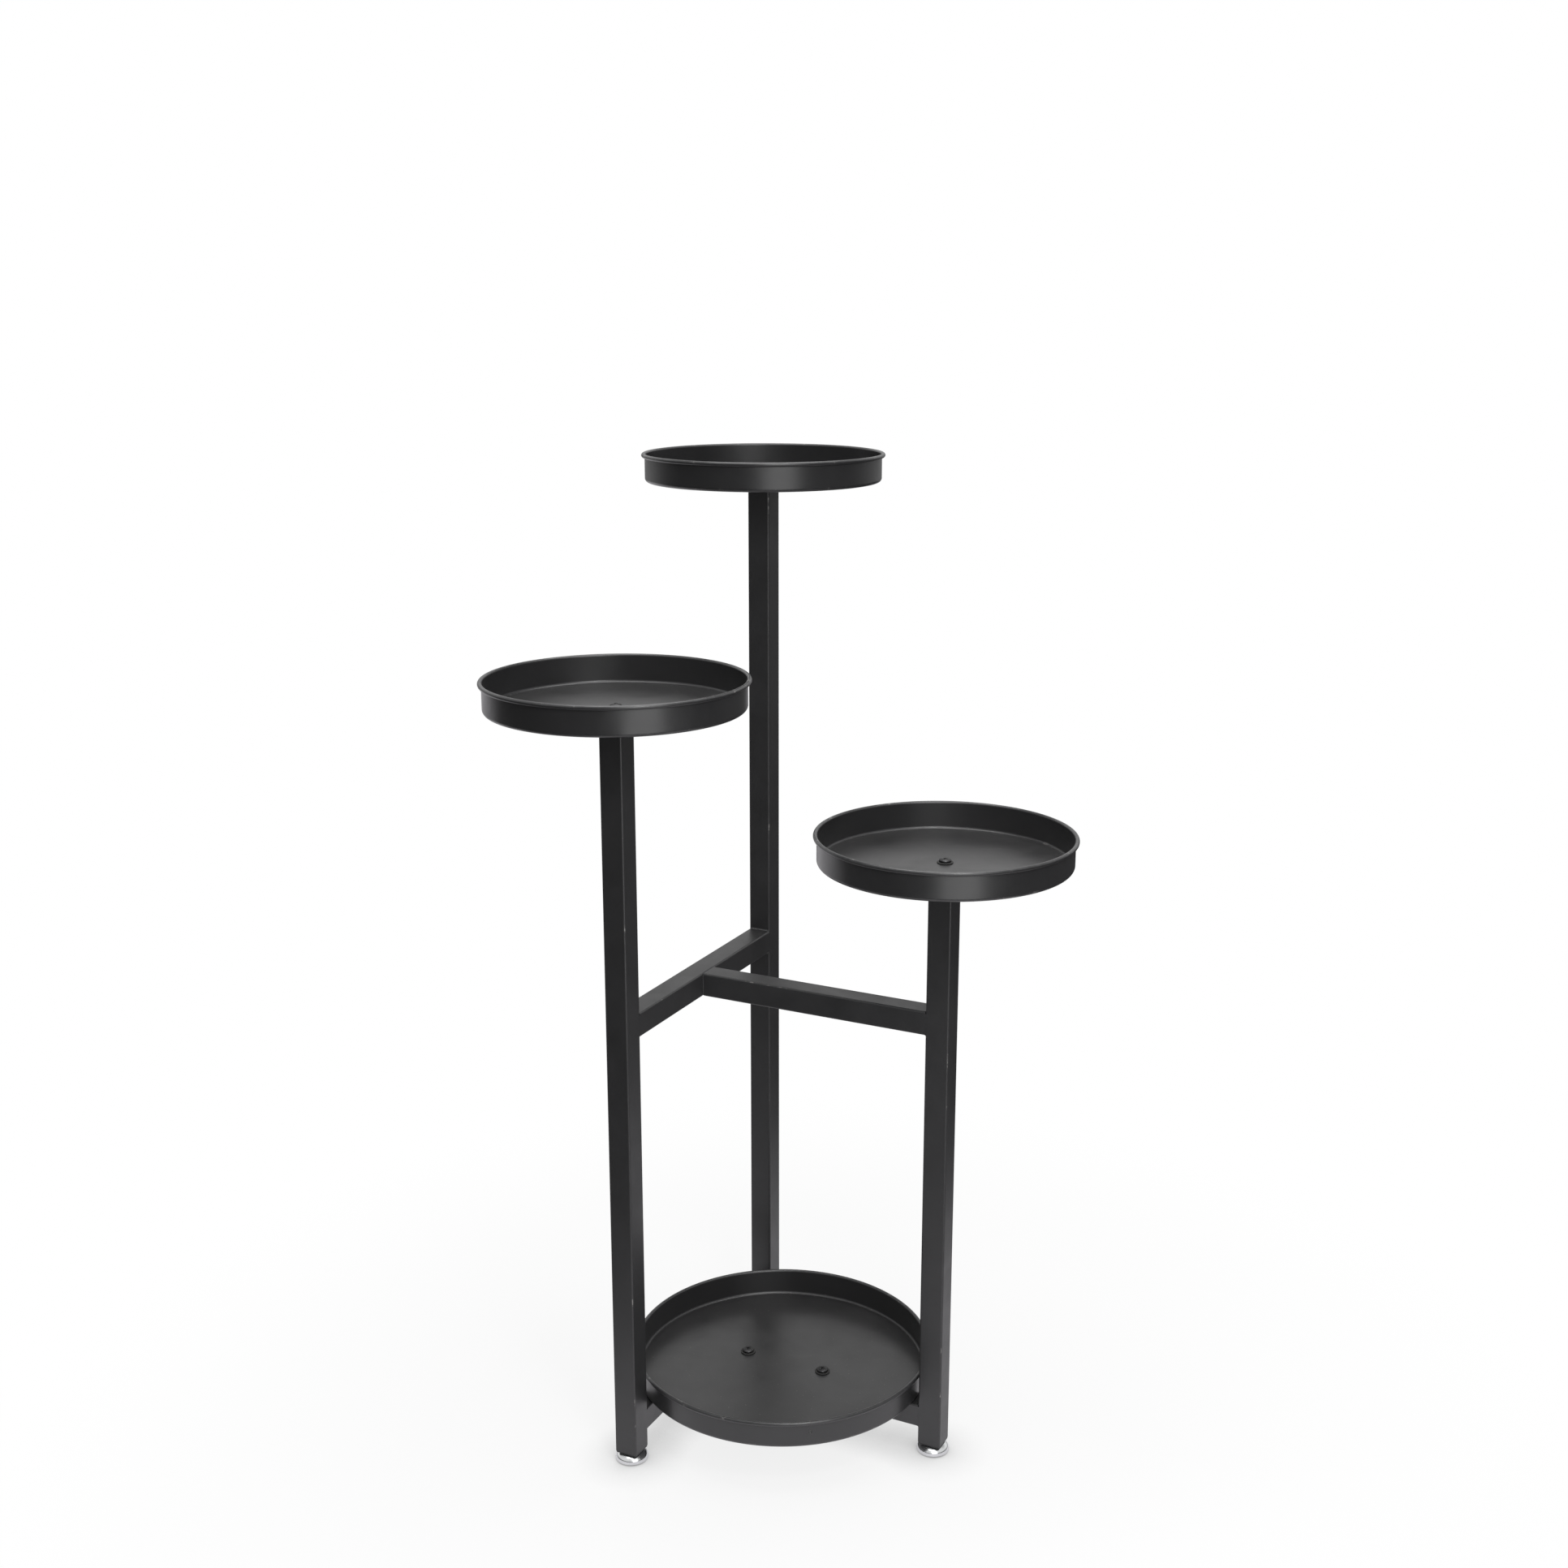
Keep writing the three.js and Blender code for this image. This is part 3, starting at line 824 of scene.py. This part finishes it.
stud = {
    "headHeight": 2.2 * mm,
    "headRound": 0.4 * mm,
    "neck": 3.68 * mm,
    "overlap": 0.6 * mm,  # how far the head's neck reaches into the thread, which starts half way up it
    "radius": 4.0 * mm,
    "pitch": 1.25 * mm,
    "threadDepth": 0.7 * mm,
    "tip": 0.9 * mm,
    "steps": 40,
}


@lru_cache(maxsize=None)
def studMesh(headRadius, length):
    headHeight, soft, neck, overlap = [stud[name] for name in ("headHeight", "headRound", "neck", "overlap")]
    head = [(0, 0)] + arcPoints((headRadius - soft, soft), soft, -90, 0, 4)
    head += arcPoints((headRadius - soft, headHeight - soft), soft, 0, 90, 4)
    head += [(neck, headHeight), (neck, headHeight + overlap), (0, headHeight + overlap)]
    return boolean(spun(head, 64), threadedRod(stud, headHeight + overlap / 2, length), "UNION")


def makeStud(node, body):
    size, foot = measured(node)
    bm = studMesh(round(size.x / 2, 6), round(size.z, 6)).copy()
    finishPiece(bm, node + "_thread", zincPlate, [node], foot, body, flatShare=False)


pad = {
    "thick": 3.0 * mm,
    "boss": 7.0 * mm,  # radius of the raised middle
    "round": 0.6 * mm,
}


def makePad(node, body):
    size, foot = measured(node)
    radius, height = size.x / 2, size.z
    thick, boss, soft = pad["thick"], pad["boss"], pad["round"]
    points = [(0, 0)] + arcPoints((radius - soft, soft), soft, -90, 0, 6)
    points += arcPoints((radius - soft / 2, thick - soft / 2), soft / 2, 0, 90, 4)
    points += arcPoints((boss + soft, thick + soft), soft, -90, -180, 4)
    points += arcPoints((boss - soft / 2, height - soft / 2), soft / 2, 0, 90, 4)
    bm = spun(points + [(0, height)], dome["steps"])
    finishPiece(bm, node + "_glide", blackNylon, [node], foot, body)


plug = {
    "lip": 1.5 * mm,
    "lipRound": 0.6 * mm,
    "lipBreak": 0.2 * mm,
    "core": 18.5 * mm,
    "fin": 1.2 * mm,
    "fins": 3,
    "finLean": 0.35 * mm,  # the fins are thinner at their edge
    "lead": 1.2 * mm,  # how much narrower the upper end is than a fin
    "bore": 4.5 * mm,
    "nutPocket": 7.8 * mm,
    "pocketTop": 7.2 * mm,
    "beyond": 2.0 * mm,  # how far the cutters stand out
}


def plugStations(side, height):
    # heights and side lengths, from the lip over the fins to the upper end
    lip, core, fin, lean = [plug[name] for name in ("lip", "core", "fin", "finLean")]
    finSide = side - 2 * tubing["wall"]
    pitch = (height - lip - fin) / plug["fins"]
    stations = [(lip, side), (lip, core)]
    for i in range(1, plug["fins"] + 1):
        base = lip + pitch * i
        stations += [(base, core), (base + lean, finSide), (base + fin - lean, finSide), (base + fin, core)]
    stations[-1] = (height, finSide - plug["lead"])
    return stations


def makePlug(node):
    size, foot = measured(node)
    side, height, beyond = size.x, size.z, plug["beyond"]
    bm = roundedSquare(side, tubing["corner"], 6)
    cap = bm.faces[:]
    now, width = 0.0, side
    for level, wide in plugStations(side, height):
        cap = raiseFaces(bm, cap, level - now)
        verts = list({v for f in cap for v in f.verts})
        bmesh.ops.scale(bm, verts=verts, vec=(wide / width, wide / width, 1))
        now, width = level, wide

    def rimAt(level):
        ends = [v for v in bm.verts if abs(v.co.z - level) < meshing["level"]]
        ends = [v for v in ends if max(abs(v.co.x), abs(v.co.y)) > plug["core"] * 0.6]
        return [e for e in bm.edges if e.verts[0] in ends and e.verts[1] in ends]

    softenEdges(bm, rimAt(0.0), plug["lipRound"], 4)
    softenEdges(bm, rimAt(plug["lip"]), plug["lipBreak"])
    tidyMesh(bm)
    bm = boolean(bm, prism(6, plug["nutPocket"], plug["pocketTop"] + beyond, -beyond))
    bm = boolean(bm, prism(40, plug["bore"], height + 2 * beyond, -beyond))
    finishPiece(bm, node + "_insert", blackNylon, [node], foot, flatShare=False)


for side in sides:
    screwBody, glideBody = side + "_foot_screw", side + "_foot_glide"
    makeDome(side + "_foot_dome", screwBody)
    makeStud(side + "_foot_stud", screwBody)
    makePad(side + "_foot_pad", glideBody)
    makePlug(side + "_foot_plug")
    makeHexNut(side + "_foot_nut", hexNut["footNutBore"])
print("stand: levelling feet made")

weld = {
    "leg": 2.1 * mm,  # size of the fillet in an inner corner
    "teeLeg": 0.9 * mm,
    "ripple": 0.14 * mm,
    "ripplePitch": 2.647 * mm,
    "otherPhase": 0.31,  # how far the ripples of the second side are shifted, in pitches
    "run": 22.4 * mm,
    "steps": 60,
    "taper": 0.07,  # share of the run over which each end thins out
    "thinnest": 0.35,  # size of a fillet's end, as a share
    "hollow": 0.93,
    "bury": 0.5 * mm,  # how far a bead reaches into the metal
    "sink": 0.05 * mm,
    "flush": 0.012 * mm,  # how far a ground bead stands off the faces that it fills
    "flushRun": 21.4 * mm,
    "flushOver": 0.8 * mm,  # how far a ground bead reaches over the bar
    "flushBack": 1.15,  # and over the tube's rounded edge, as a share of its radius
    "flushDeep": 1.1 * mm,
    "flushUnder": 0.02 * mm,  # depth at which its slopes start
    "flushSlope": 0.3 * mm,
    "flushWaves": 7,
    "flushSteps": 24,
    "teeSink": 0.9 * mm,  # the groove over and under the stem's inner end stays open this deep
}


def filletSection(leg, phase):
    # legs on both faces with a hollow face between; thinner at both ends of the run
    sink, waves = weld["sink"], weld["run"] / weld["ripplePitch"]

    def section(share):
        swell = math.sin(2 * math.pi * (share * waves + phase))
        ends = max(0.0, min(1.0, share / weld["taper"], (1 - share) / weld["taper"]))
        size = leg * (weld["thinnest"] + (1 - weld["thinnest"]) * math.sqrt(ends))
        size += weld["ripple"] * swell * ends
        hollow = arcPoints((size, size), size * weld["hollow"], 270, 180, 6)
        return [(-sink, -weld["bury"]), (size, -sink), *hollow, (-sink, size)]

    return section


def groundSection(rise):
    # fills the groove between a rounded tube edge and the bar's sawn end, dressed level with the faces
    back, over = -tubing["corner"] * weld["flushBack"], weld["flushOver"]
    under, deep, slope = -weld["flushUnder"], -weld["flushDeep"], weld["flushSlope"]

    def section(share):
        level = rise * (1 + 0.5 * math.sin(2 * math.pi * share * weld["flushWaves"]))
        top = [(over, under), (over - slope, level), (back + slope, level)]
        return [(back, under), (back, deep), (over, deep), *top]

    return section


def beadRun(length, sectionAt, steps):
    # a closed bead along Z: one section, raised step by step, each cap moved to its own section
    bm = bmesh.new()
    ring = [bm.verts.new((u, v, -length / 2)) for u, v in sectionAt(0)]
    cap = [bm.faces.new(ring)]
    for i in range(1, steps + 1):
        cap = raiseFaces(bm, cap, length / steps)
        for loop, place in zip(cap[0].loops, sectionAt(i / steps)):
            loop.vert.co.xy = place
    bmesh.ops.recalc_face_normals(bm, faces=bm.faces[:])
    return bm


def laid(bm, origin, along, away):
    # turns a bead so that its section lies in (along, away) and it runs across both
    turn = Matrix((along, away, along.cross(away))).transposed().to_4x4()
    bmesh.ops.transform(bm, matrix=Matrix.Translation(origin) @ turn, verts=bm.verts[:])
    bmesh.ops.recalc_face_normals(bm, faces=bm.faces[:])
    return bm


def makeWeld(name, corner, out, flush, joint, rise=weld["flush"], leg=weld["leg"]):
    # corner: where the bar's axis meets the face it is welded to; out: along the bar, away from that face;
    # joint: across the bar to its free faces; flush: across the bar to the faces that lie flush
    half = tubing["side"] / 2
    parts = []
    for i, turn in enumerate((1, -1)):
        bead = beadRun(weld["run"], filletSection(leg, weld["otherPhase"] * i), weld["steps"])
        parts.append(laid(bead, corner + joint * turn * half, out, joint * turn))
        fill = beadRun(weld["flushRun"], groundSection(rise), weld["flushSteps"])
        parts.append(laid(fill, corner + flush * turn * half, out, flush * turn))
    finishPiece(joinMeshes(parts), name, weldCoat)


across, along, up = Vector((1, 0, 0)), Vector((0, 1, 0)), Vector((0, 0, 1))
leftFace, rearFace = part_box("left_post")[1].y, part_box("rear_post")[0].y
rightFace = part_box("right_post")[0].x
for level in ("upper", "lower"):
    crossLow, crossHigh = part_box(level + "_cross_bar")
    stemLow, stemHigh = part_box(level + "_stem_bar")
    cross, stem = (crossLow + crossHigh) / 2, (stemLow + stemHigh) / 2
    makeWeld(level + "_left_weld", Vector((cross.x, leftFace, cross.z)), along, across, up)
    makeWeld(level + "_rear_weld", Vector((cross.x, rearFace, cross.z)), -along, across, up)
    makeWeld(level + "_right_weld", Vector((rightFace, stem.y, stem.z)), -across, along, up)
    teeCorner = Vector((crossHigh.x, stem.y, stem.z))
    makeWeld(level + "_tee_weld", teeCorner, across, up, along, -weld["teeSink"], weld["teeLeg"])
print("stand: welds made")

floorLook = {
    "reach": 6.0,
    "dip": 0.0002,
    "paper": (0.93, 0.93, 0.93),
    "bounce": (0.85, 0.85, 0.85),
    "whiteShare": 0.84,  # how far the floor under the stand is plain white for the camera
    "white": (0.3, 0.9),  # between these distances it turns all white
    "contactReach": 0.05,  # how far round a foot the floor loses light
    "contactLow": 0.25,
    "glowTint": (1.0, 0.98, 1.015),
    "poolAt": (0.12, -0.02, 0.0),  # in reflections the floor has a lit pool round the stand
    "pool": (0.3, 0.85),
    "wingSlant": (0.2, 1.0, 0.0),
    "wingFront": (-0.3, -0.9),  # and a lit wing to the left and back, which ends between these places
    "wingRight": (-1.2, -0.1),
    "wingLow": 0.07,
    "grainScale": 3.0,
}


def reflectedFloor(tree, where, spot, across):
    # how bright each place of the floor is in reflections
    look, smooth = floorLook, "SMOOTHSTEP"
    fromPool = inOrder(tree, "ShaderNodeVectorMath", spot, look["poolAt"], operation="DISTANCE")["Value"]
    pool = mapped(tree, fromPool, *look["pool"], 1.0, 0.0, smooth)
    slant = inOrder(tree, "ShaderNodeVectorMath", spot, look["wingSlant"], operation="DOT_PRODUCT")["Value"]
    front = mapped(tree, slant, *look["wingFront"], 1.0, 0.0, smooth)
    right = mapped(tree, across, *look["wingRight"], 1.0, look["wingLow"], smooth)
    lit = calculated(tree, "MAXIMUM", pool, calculated(tree, "MULTIPLY", front, right))
    grain = placed(tree, unevenTone, {"Vector": where, "Scale": look["grainScale"], "Low": 0.97, "High": 1.0})
    return calculated(tree, "MULTIPLY", lit, grain)


def floorMaterial():
    # the camera sees near-white paper with the stand's shadow, and nothing of it from underneath
    look = floorLook
    material, tree, shader, where = startMaterial("pale floor")
    tree.nodes.remove(shader)
    split = addNode(tree, "ShaderNodeSeparateXYZ", {"Vector": where}).outputs
    spot = addNode(tree, "ShaderNodeCombineXYZ", {"X": split["X"], "Y": split["Y"]}).outputs[0]
    distance = inOrder(tree, "ShaderNodeVectorMath", spot, operation="LENGTH")["Value"]
    whiten = mapped(tree, distance, *look["white"], look["whiteShare"], 1.0, "SMOOTHSTEP")
    clear = addNode(tree, "ShaderNodeAmbientOcclusion", {"Distance": look["contactReach"]}, samples=8)
    contact = mapped(tree, clear.outputs["AO"], 0.0, 1.0, look["contactLow"])
    glow = calculated(tree, "MULTIPLY", reflectedFloor(tree, where, spot, split["X"]), contact)
    white = addNode(tree, "ShaderNodeEmission", {"Strength": contact}).outputs[0]
    paper = addNode(tree, "ShaderNodeBsdfDiffuse", {"Color": look["paper"]}).outputs[0]
    mirrored = addNode(tree, "ShaderNodeEmission", {"Color": look["glowTint"], "Strength": glow}).outputs[0]
    bounce = addNode(tree, "ShaderNodeBsdfDiffuse", {"Color": look["bounce"]}).outputs[0]
    through = addNode(tree, "ShaderNodeBsdfTransparent").outputs[0]
    seen = addNode(tree, "ShaderNodeLightPath").outputs
    direct = calculated(tree, "MAXIMUM", seen["Is Camera Ray"], seen["Is Transmission Ray"])
    others = mixedShader(tree, seen["Is Glossy Ray"], bounce, mirrored)
    whole = mixedShader(tree, direct, others, mixedShader(tree, whiten, paper, white))
    backs = addNode(tree, "ShaderNodeNewGeometry").outputs["Backfacing"]
    below = calculated(tree, "MULTIPLY", backs, seen["Is Camera Ray"])
    surface = mixedShader(tree, below, whole, through)
    feed(tree, tree.nodes["Material Output"].inputs["Surface"], surface)
    layOut(tree)
    return material


def makeFloor():
    bm = bmesh.new()
    bmesh.ops.create_circle(bm, cap_ends=True, segments=96, radius=floorLook["reach"])
    moved(bm, 0, 0, cadBox[0].z - floorLook["dip"])
    mesh = bpy.data.meshes.new("floor")
    bm.to_mesh(mesh)
    bm.free()
    mesh.materials.append(floorMaterial())
    floor = bpy.data.objects.new("floor", mesh)
    scene.collection.objects.link(floor)


view = {
    "lens": 44.51,
    "sensor": 36.0,
    "place": (0.8034, -1.6889, 1.1829),
    "azimuth": 26.456,
    "pitch": 14.258,
}
studio = {
    # what reflections see: at the horizon and higher up, with the heights between which it changes
    "backGlow": (0.42, 1.0),
    "backRise": (0.08, 0.3),
    "backTop": (0.48, 0.74),  # above it the backdrop ends
    "topGlow": 0.3,
    "frontGlow": (0.08, 0.85),
    "frontRise": (0.1, 0.5),
    "backEdge": (-0.1, 0.75),  # from the side to the backdrop, along the camera's direction
    "diffuse": 0.3,
}


def makeWorld():
    world = bpy.data.worlds.new("studio")
    world.use_nodes = True
    scene.world = world
    tree, smooth = world.node_tree, "SMOOTHSTEP"
    where = addNode(tree, "ShaderNodeTexCoord").outputs["Generated"]
    height = addNode(tree, "ShaderNodeSeparateXYZ", {"Vector": where}).outputs["Z"]
    azimuth = math.radians(view["azimuth"])
    ahead = (-math.sin(azimuth), math.cos(azimuth), 0.0)
    facing = inOrder(tree, "ShaderNodeVectorMath", where, ahead, operation="DOT_PRODUCT")["Value"]
    back = mapped(tree, facing, *studio["backEdge"], curve=smooth)
    front = mapped(tree, height, *studio["frontRise"], *studio["frontGlow"], smooth)
    behind = mapped(tree, height, *studio["backRise"], *studio["backGlow"], smooth)
    over = mapped(tree, height, *studio["backTop"], curve=smooth)
    behind = mixed(tree, "VALUE", over, behind, studio["topGlow"])
    glow = mixed(tree, "VALUE", back, front, behind)
    seen = addNode(tree, "ShaderNodeLightPath").outputs
    glossy = mixed(tree, "VALUE", seen["Is Glossy Ray"], studio["diffuse"], glow)
    direct = calculated(tree, "MAXIMUM", seen["Is Camera Ray"], seen["Is Transmission Ray"])
    strength = mixed(tree, "VALUE", direct, glossy, 1.0)
    background = tree.nodes["Background"].inputs
    feed(tree, background["Strength"], strength)
    feed(tree, background["Color"], (1.0, 1.0, 1.0))
    layOut(tree)


lamps = (
    # name, place, target, width, depth, watts, spread in degrees
    ("top softbox", (0.0, 0.1, 2.7), (0, 0, 0), 1.9, 1.9, 30, 150),
    ("side softbox", (0.62, -0.7, 0.72), (0, 0, 0.6), 0.58, 1.3, 4.9, 180),
    ("key softbox", (0.75, -0.85, 1.62), (0, 0, 0.6), 0.3, 0.3, 5, 180),
)


def makeLamp(name, place, target, width, depth, watts, spread):
    data = bpy.data.lights.new(name, "AREA")
    data.shape = "RECTANGLE"
    data.size, data.size_y = width, depth
    data.energy = watts
    data.spread = math.radians(spread)
    lamp = bpy.data.objects.new(name, data)
    lamp.location = place
    lamp.rotation_euler = (Vector(target) - Vector(place)).to_track_quat("-Z", "Y").to_euler()
    lamp.visible_camera = False
    scene.collection.objects.link(lamp)


def makeCamera():
    data = bpy.data.cameras.new("camera")
    data.lens = view["lens"]
    data.sensor_width = view["sensor"]
    camera = bpy.data.objects.new("camera", data)
    camera.location = view["place"]
    camera.rotation_euler = (math.radians(90 - view["pitch"]), 0, math.radians(view["azimuth"]))
    scene.collection.objects.link(camera)
    scene.camera = camera


makeFloor()
makeWorld()
for lamp in lamps:
    makeLamp(*lamp)
makeCamera()
scene.view_settings.view_transform = "Standard"
print("stand: stage, light and camera made")
